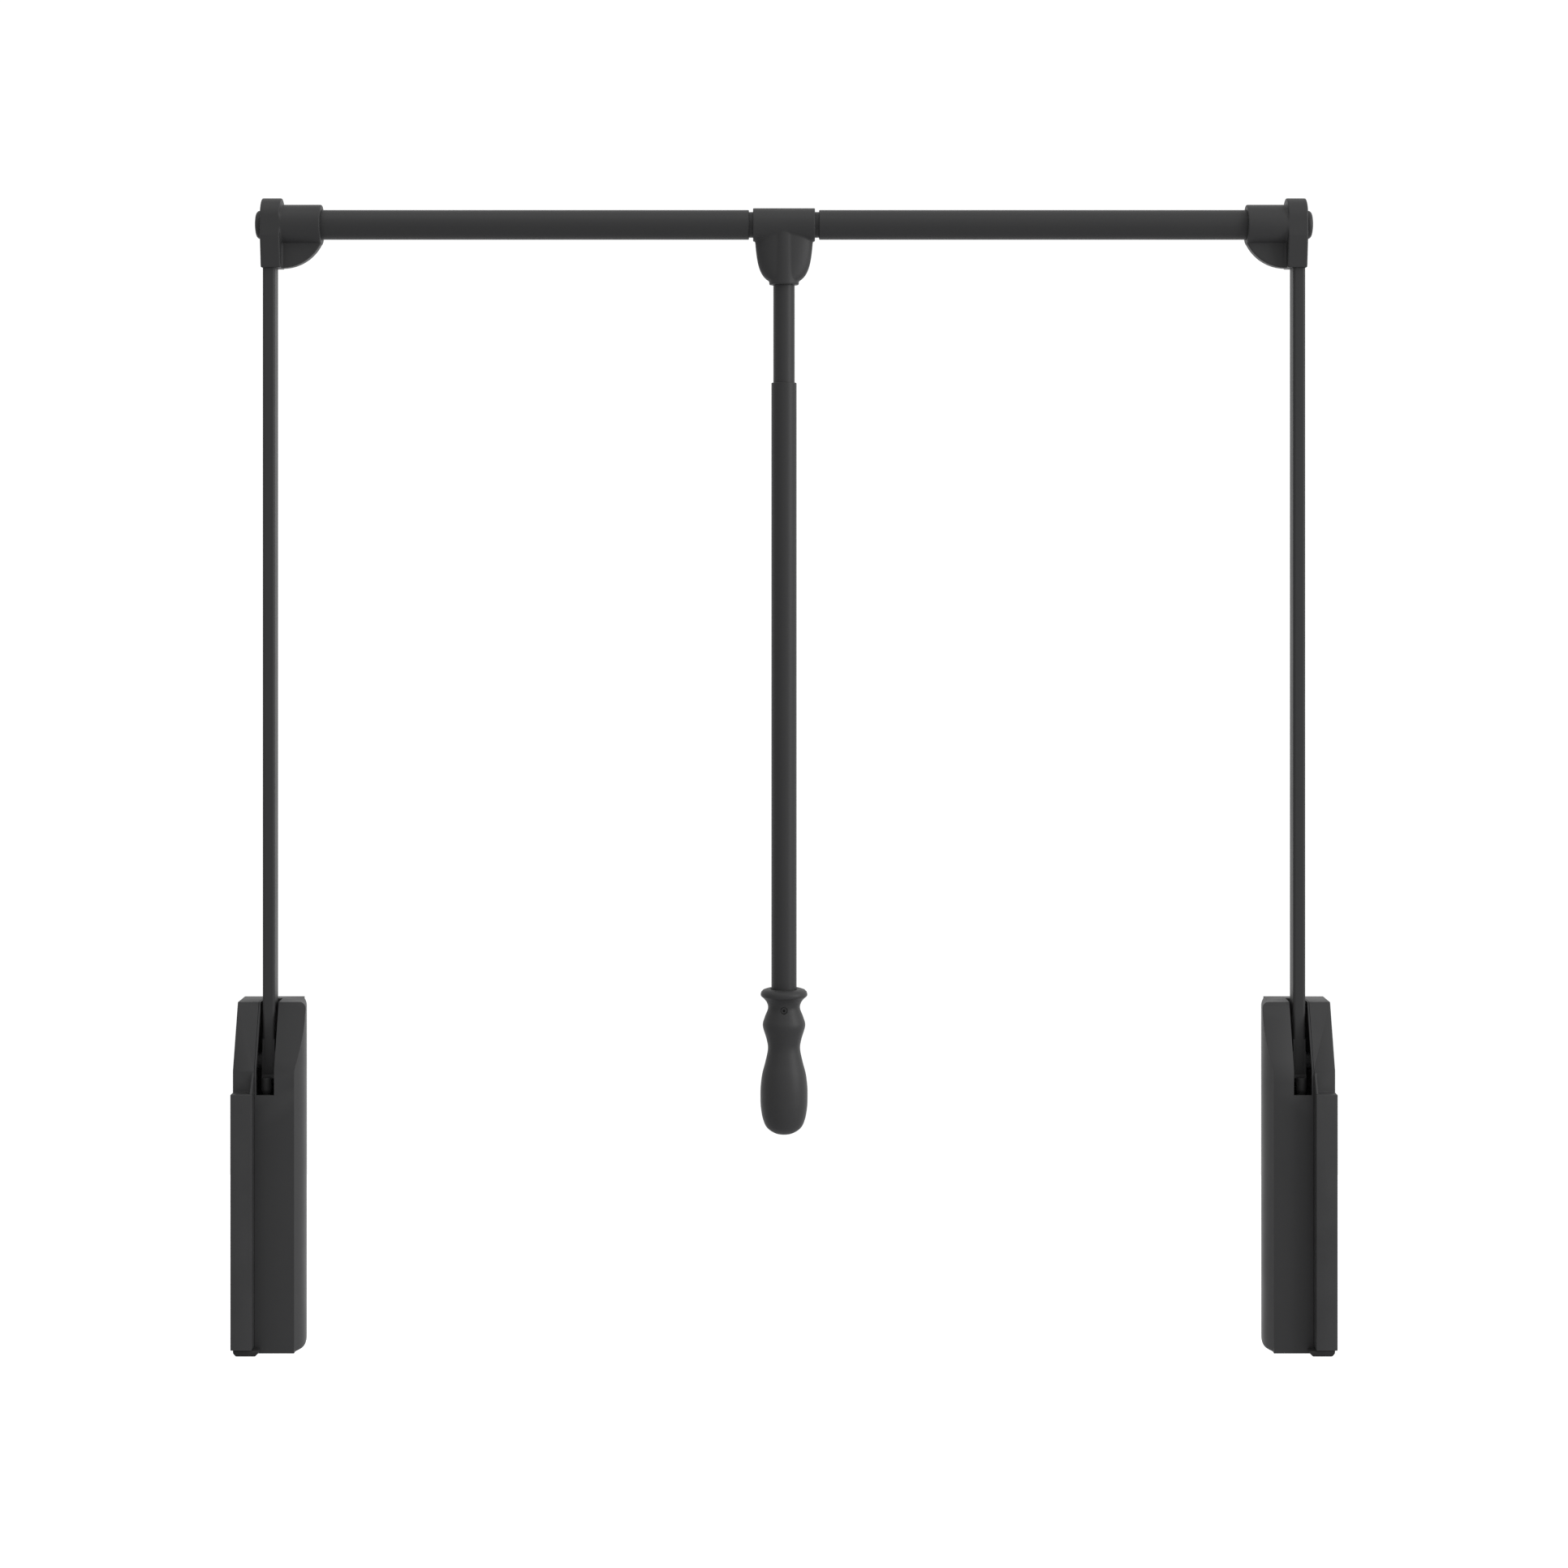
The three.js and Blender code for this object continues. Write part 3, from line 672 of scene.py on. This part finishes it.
def makeCover(side):
    use = cover
    node = f"{side}_inner_cover"
    low, high = (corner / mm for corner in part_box(node))
    front, back, height = low.y, high.y, high.z
    way = 1 if side == "left" else -1
    wall = (cadLow.x if side == "left" else cadHigh.x) / mm
    reachAt = coverCurve(front, back)
    bm = bmesh.new()

    def point(distance, depth, level):
        return bm.verts.new(((wall + way * distance) * mm, depth * mm, level * mm))

    grid = []
    for level, drawn in coverRows(height):
        rise = max(0.0, (level - use["slopeFoot"]) / (height - use["slopeFoot"]))
        start = front + rise * (use["slopeBack"] - front)
        row = [point(distance, start, level) for distance in (use["split"], *use["slot"])]
        for step in range(use["columns"] + 1):
            depth = start + (back - start) * (step / use["columns"]) ** 1.5
            # the crease itself stays straight, and the rounding grows with the bulge
            reach = reachAt(depth)
            follow = min(1.0, max(0.0, (reach - use["crease"]) / drawn)) if drawn else 0.0
            row.append(point(reach - drawn * follow, depth, level))
        row.append(point(use["split"], back, level))
        grid.append((level, row))
    for (level, below), (_, above) in zip(grid, grid[1:]):
        for column in range(len(below) - 1):
            if column == 1 and level > use["slotFoot"] - 0.01:
                continue
            bm.faces.new((below[column], below[column + 1], above[column + 1], above[column]))
    top = grid[-1][1]
    notch = [point(distance, use["slotBack"], height) for distance in use["slot"]]
    bm.faces.new(top[:2] + notch + top[2:])
    bm.faces.new(grid[0][1])
    bmesh.ops.recalc_face_normals(bm, faces=bm.faces)
    bm.faces.ensure_lookup_table()
    if bm.faces[0].normal.y > 0:
        bmesh.ops.reverse_faces(bm, faces=bm.faces)
    piece = addObject(node + "_shell", meshFrom(bm, node))
    withModifier(piece, "SOLIDIFY", thickness=use["wall"] * mm, offset=-1, use_even_offset=True)
    baked(piece)
    mouth = abs(wall + way * use["split"]) * mm
    edgesRounded(piece, shell["edge"], lambda middle: abs(middle.x) < mouth - 0.2 * mm)
    for number in (1, 2, 3):
        centre = middleOf(f"{side}_cover_screw_{number}")
        ends = sorted((wall + way * distance) * mm for distance in use["recessDepths"])
        hole = [(0, ends[0]), (use["recess"] * mm, ends[0]), (use["recess"] * mm, ends[1]), (0, ends[1])]
        bored(piece, turnedMesh("recess", hole, "x", (0, centre.y, centre.z), 40))
    handIn(piece, [node], 28)


def makeShells(side):
    tray = mergedCopy(f"{side}_outer_tray", f"{side}_outer_tray_shell")
    mouth = cadHigh.x - shell["split"] + 0.5 * mm
    flange = cadLow.y + shell["flangeBack"]
    edgesRounded(tray, shell["edge"], lambda middle: abs(middle.x) > mouth or middle.y < flange)
    handIn(tray, [f"{side}_outer_tray"], 28)
    makeCover(side)
    pad = bevelled(mergedCopy(f"{side}_foot_pad", f"{side}_foot_rubber"), shell["padEdge"])
    handIn(pad, [f"{side}_foot_pad"])


def makeBumper(side):
    node = f"{side}_stop_bumper"
    low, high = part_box(node)
    centre = middleOf(node)
    radius = (high.x - low.x) / 2
    tall = high.z - low.z
    stem = [(0, 0), (0.62 * radius, 0), (0.66 * radius, 0.22 * tall)]
    cap = [(radius, 0.4 * tall), (radius, tall), (0, tall)]
    profile = roundedCorner(stem + cap, 1.1 * mm)
    mesh = turnedMesh(node + "_rubber", profile, "z", (centre.x, centre.y, low.z), 48)
    handIn(addObject(node + "_rubber", mesh), [node], 60)


coverScrew = {
    "head": 3.0 * mm,
    "rise": 1.7 * mm,
    "shank": 1.6 * mm,
    "length": 9.5 * mm,
    "slot": 0.9 * mm,
    "blade": 2.4 * mm,
    "proud": 0.4 * mm,
}


def makeCoverScrews(side):
    use = coverScrew
    nodes = [f"{side}_cover_screw_{number}" for number in (1, 2, 3)]
    way = 1 if side == "left" else -1
    shank = [(0, -use["length"]), (use["shank"], -use["length"]), (use["shank"], 0)]
    head = [(use["head"], 0), (0.93 * use["head"], 0.6 * use["rise"]), (0, use["rise"])]
    profile = roundedCorner(shank + head, 0.3 * mm)
    screw = addObject("screwTemplate", turnedMesh("screwTemplate", profile, "x", (0, 0, 0), 32))
    if way < 0:
        screw.data.transform(Matrix.Rotation(math.pi, 4, "Z"))
    for turn in (0, 90):
        blade = bmesh.new()
        bmesh.ops.create_cube(blade, size=1)
        scale = Matrix.Diagonal((use["blade"], use["slot"], 1.5 * use["head"], 1))
        shift = Matrix.Translation((way * (use["rise"] + use["proud"]), 0, 0))
        place = shift @ Matrix.Rotation(math.radians(turn), 4, "X") @ scale
        bmesh.ops.transform(blade, matrix=place, verts=blade.verts)
        bored(screw, meshFrom(blade, "crossRecess"))
    host = bpy.data.meshes.new(f"{side}_screws")
    places = []
    for node in nodes:
        low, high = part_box(node)
        face = high.x if side == "left" else low.x
        places.append((face - way * use["rise"], (low.y + high.y) / 2, (low.z + high.z) / 2))
    host.from_pydata(places, [], [])
    piece = growFrom(f"{side}_screws", host, screwTree, {"Screw": screw})
    handIn(piece, nodes)
    bpy.data.objects.remove(screw)


armBar = {"corner": 2.1 * mm, "overlap": 26.7 * mm, "proud": 0.1 * mm}
rail = {"wall": 1.1 * mm}
bracket = {
    "voxel": 0.55 * mm,
    "passes": 7,
    "face": 15 * mm,
    "mouth": 45.2 * mm,
    "round": 15.3 * mm,
    "foot": 11 * mm,
    "gusset": 33.2 * mm,
    "web": 5 * mm,
    "bore": 11.5 * mm,
    "armSocket": 24 * mm,
}


def makeArm(side):
    # the bar runs on down over the hub's cheek, as one piece with it
    node = f"{side}_arm"
    low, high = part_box(node)
    centre = middleOf(node)
    values = {
        "X": centre.x,
        "Y": centre.y,
        "From": low.z - armBar["overlap"],
        "To": high.z,
        "Width": high.x - low.x + 2 * armBar["proud"],
        "Depth": high.y - low.y + 2 * armBar["proud"],
        "Corner": armBar["corner"],
    }
    host = bpy.data.meshes.new(node + "_bar")
    handIn(growFrom(node + "_bar", host, barTree, values), [node], 40)


def makeRailTube(node, along="x"):
    low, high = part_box(node)
    centre = middleOf(node)
    radius = (high.y - low.y) / 2
    if along == "x":
        mesh = tubeMesh(node, radius, rail["wall"], low.x, high.x, "x", (0, centre.y, centre.z))
    else:
        mesh = tubeMesh(node, radius, rail["wall"], low.z, high.z, "z", (centre.x, centre.y, 0))
    handIn(addObject(node + "_tube", mesh), [node])


def makeBracket(side):
    use = bracket
    node = f"{side}_end_bracket"
    low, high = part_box(node)
    way = 1 if side == "left" else -1
    outer = low.x if side == "left" else high.x
    tubeMiddle = middleOf(f"{side}_rail_tube")
    face = outer + way * use["face"]
    mouth = outer + way * use["mouth"]
    headTop = high.z - use["round"]
    middleY = tubeMiddle.y
    outline = [(middleY - use["foot"], low.z), (middleY + use["foot"], low.z)]
    outline += [(middleY + use["round"], headTop - 14 * mm)]
    outline += arc((middleY, headTop), use["round"], 0, 180, 32)
    outline += [(middleY - use["round"], headTop - 14 * mm)]
    gusset = [(face - way * 2 * mm, tubeMiddle.z)]
    swing = (0, -90) if side == "left" else (180, 270)
    gusset += arc((face, tubeMiddle.z), use["gusset"], swing[0], swing[1], 32)
    gusset += [(face - way * 2 * mm, tubeMiddle.z - use["gusset"])]
    inset = 0.4 * mm
    start, end = sorted((outer, face))
    socketEnds = sorted((face - way * mm, mouth))

    def head(bm):
        prismMesh(bm, outline, "x", start, end)

    def socket(bm):
        cylinderInto(bm, use["round"], "x", *socketEnds, (0, tubeMiddle.y, tubeMiddle.z))

    def web(bm):
        edge = mouth - way * inset
        clipped = [(min(x, edge) if way > 0 else max(x, edge), z) for x, z in gusset]
        prismMesh(bm, clipped, "y", middleY - use["web"], middleY + use["web"])

    piece = melted(node + "_body", (head, socket, web), use["voxel"], use["passes"])
    boreFrom, boreTo = sorted((face - way * 8 * mm, mouth + way * 4 * mm))
    wide = use["bore"]
    bore = [(0, boreFrom), (wide, boreFrom), (wide, boreTo), (0, boreTo)]
    bored(piece, turnedMesh("bore", bore, "x", (0, tubeMiddle.y, tubeMiddle.z)))
    armLow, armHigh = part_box(f"{side}_arm")
    bm = bmesh.new()
    made = bmesh.ops.create_cube(bm, size=1)["verts"]
    size = armHigh - armLow
    depth = use["armSocket"]
    scale = Matrix.Diagonal((size.x + 0.3 * mm, size.y + 0.3 * mm, depth, 1))
    centre = ((armLow.x + armHigh.x) / 2, middleY, low.z - 2 * mm + depth / 2)
    bmesh.ops.transform(bm, matrix=Matrix.Translation(centre) @ scale, verts=made)
    bored(piece, meshFrom(bm, "armSocket"))
    handIn(piece, [node], 50)


def makeButton(side):
    node = f"{side}_rail_button"
    low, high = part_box(node)
    centre = middleOf(node)
    way = 1 if side == "left" else -1
    crown = low.x if side == "left" else high.x
    radius = (high.y - low.y) / 2
    points = [(0, 0), (0.5 * radius, 0.12 * mm), (0.86 * radius, 0.9 * mm)]
    points += [(radius, 2.4 * mm), (radius, 5 * mm), (0.3 * radius, 5 * mm)]
    points += [(0.3 * radius, high.x - low.x), (0, high.x - low.x)]
    profile = [(r, crown + way * place) for r, place in roundedCorner(points, 1.2 * mm, 6)]
    mesh = turnedMesh(node, profile, "x", (0, centre.y, centre.z))
    handIn(addObject(node + "_cap", mesh), [node], 40)


tee = {
    "voxel": 0.5 * mm,
    "passes": 8,
    "web": 10.4 * mm,
    "neck": 11.3 * mm,
    "shoulder": 22.4 * mm,
    "flare": ((20 * mm, 0.814), (21 * mm, 0.826)),
    "railBore": 10.1 * mm,
    "rodBore": 8.4 * mm,
}
grip = {
    # radius at each height over the grip's foot
    "knots": (
        (0.0, 0.0), (1.2, 6.8), (5.4, 13.0), (12.0, 16.1), (21.0, 17.7), (29.0, 18.0), (37.0, 17.8),
        (46.4, 16.6), (56.0, 14.1), (65.6, 12.3), (73.0, 13.4), (82.9, 16.2), (89.5, 14.7), (95.9, 12.3),
        (100.2, 12.9), (103.4, 15.1), (105.2, 17.2),
    ),
    "screwHeight": 95.9,
    "screwHole": 2.6,
}


def makeTee():
    use = tee
    low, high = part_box("tee")
    railMiddle = middleOf("inner_rail")
    sleeveRadius = (high.y - low.y) / 2
    shoulder = railMiddle.z - 9 * mm
    foot = low.z + 2.7 * mm
    right = curvePoints((use["neck"], foot), *use["flare"], (use["shoulder"], shoulder), 20)

    def sleeve(bm):
        cylinderInto(bm, sleeveRadius, "x", low.x, high.x, (0, railMiddle.y, railMiddle.z))

    def web(bm):
        ovals = [(x, use["web"], z) for x, z in right] + [(0.9 * use["shoulder"], use["web"], railMiddle.z)]
        ovalLoft(bm, ovals, railMiddle.y)

    def neck(bm):
        cylinderInto(bm, use["neck"], "z", low.z, railMiddle.z, (0, railMiddle.y, 0))

    piece = melted("tee_body", (sleeve, web, neck), use["voxel"], use["passes"])
    wide = use["railBore"]
    bore = [(0, low.x - mm), (wide, low.x - mm), (wide, high.x + mm), (0, high.x + mm)]
    bored(piece, turnedMesh("bore", bore, "x", (0, railMiddle.y, railMiddle.z)))
    rodTop = railMiddle.z - 10 * mm
    narrow = use["rodBore"]
    rodBore = [(0, low.z - mm), (narrow, low.z - mm), (narrow, rodTop), (0, rodTop)]
    bored(piece, turnedMesh("bore", rodBore, "z", (0, railMiddle.y, 0)))
    handIn(piece, ["tee"], 50)


def smoothRun(knots, steps):
    # A Catmull-Rom curve through (height, radius) knots.
    result = []
    for index in range(len(knots) - 1):
        around = [Vector(knots[max(0, min(len(knots) - 1, index + shift))]) for shift in (-1, 0, 1, 2)]
        a, b, c, d = around
        for step in range(steps):
            t = step / steps
            point = b * 2 + (c - a) * t + (a * 2 - b * 5 + c * 4 - d) * t**2 + (b * 3 - a - c * 3 + d) * t**3
            result.append(tuple(point * 0.5))
    result.append(tuple(knots[-1]))
    return result


def makeGrip():
    low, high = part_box("grip")
    centre = middleOf("grip")
    tubeLow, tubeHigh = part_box("grip_tube")
    tubeRadius = (tubeHigh.x - tubeLow.x) / 2
    top = (high.z - low.z) / mm
    run = [(max(radius, 0), height) for height, radius in smoothRun(grip["knots"], 7)]
    ring = [(17.75, 106.0), (17.8, 107.2), (17.3, 108.8), (15.9, 110.2), (13.6, 111.0), (11.4, top)]
    well = [(tubeRadius / mm + 0.25, top - 0.5), (tubeRadius / mm + 0.25, top - 36), (0, top - 36)]
    profile = [(radius * mm, low.z + height * mm) for radius, height in run + ring + well]
    piece = addObject("grip_body", turnedMesh("grip_body", profile, "z", (centre.x, centre.y, 0), 128))
    screwZ = low.z + grip["screwHeight"] * mm
    hole = grip["screwHole"] * mm
    reach = [(0, -30 * mm), (hole, -30 * mm), (hole, -9.9 * mm), (0, -9.9 * mm)]
    bored(piece, turnedMesh("hole", reach, "y", (centre.x, centre.y, screwZ), 32))
    bevelled(piece, 0.25 * mm, 2, 50)
    handIn(piece, ["grip"], 40)


barTree = makeBarTree()
screwTree = makeScrewTree()
for side in sides:
    makeShells(side)
    makeBumper(side)
    makeCoverScrews(side)
    makeArm(side)
    makeRailTube(f"{side}_rail_tube")
    makeBracket(side)
    makeButton(side)
    print("made the", side, "side")
makeRailTube("inner_rail")
makeTee()
makeRailTube("pull_rod", "z")
makeRailTube("grip_tube", "z")
makeGrip()
print("made the middle of the rail, the rod and the grip")

for node, part in frame["nodes"].items():
    if not part.hide_render:
        part.data.materials.clear()
        part.data.materials.append(finishes[slotOf[node]])
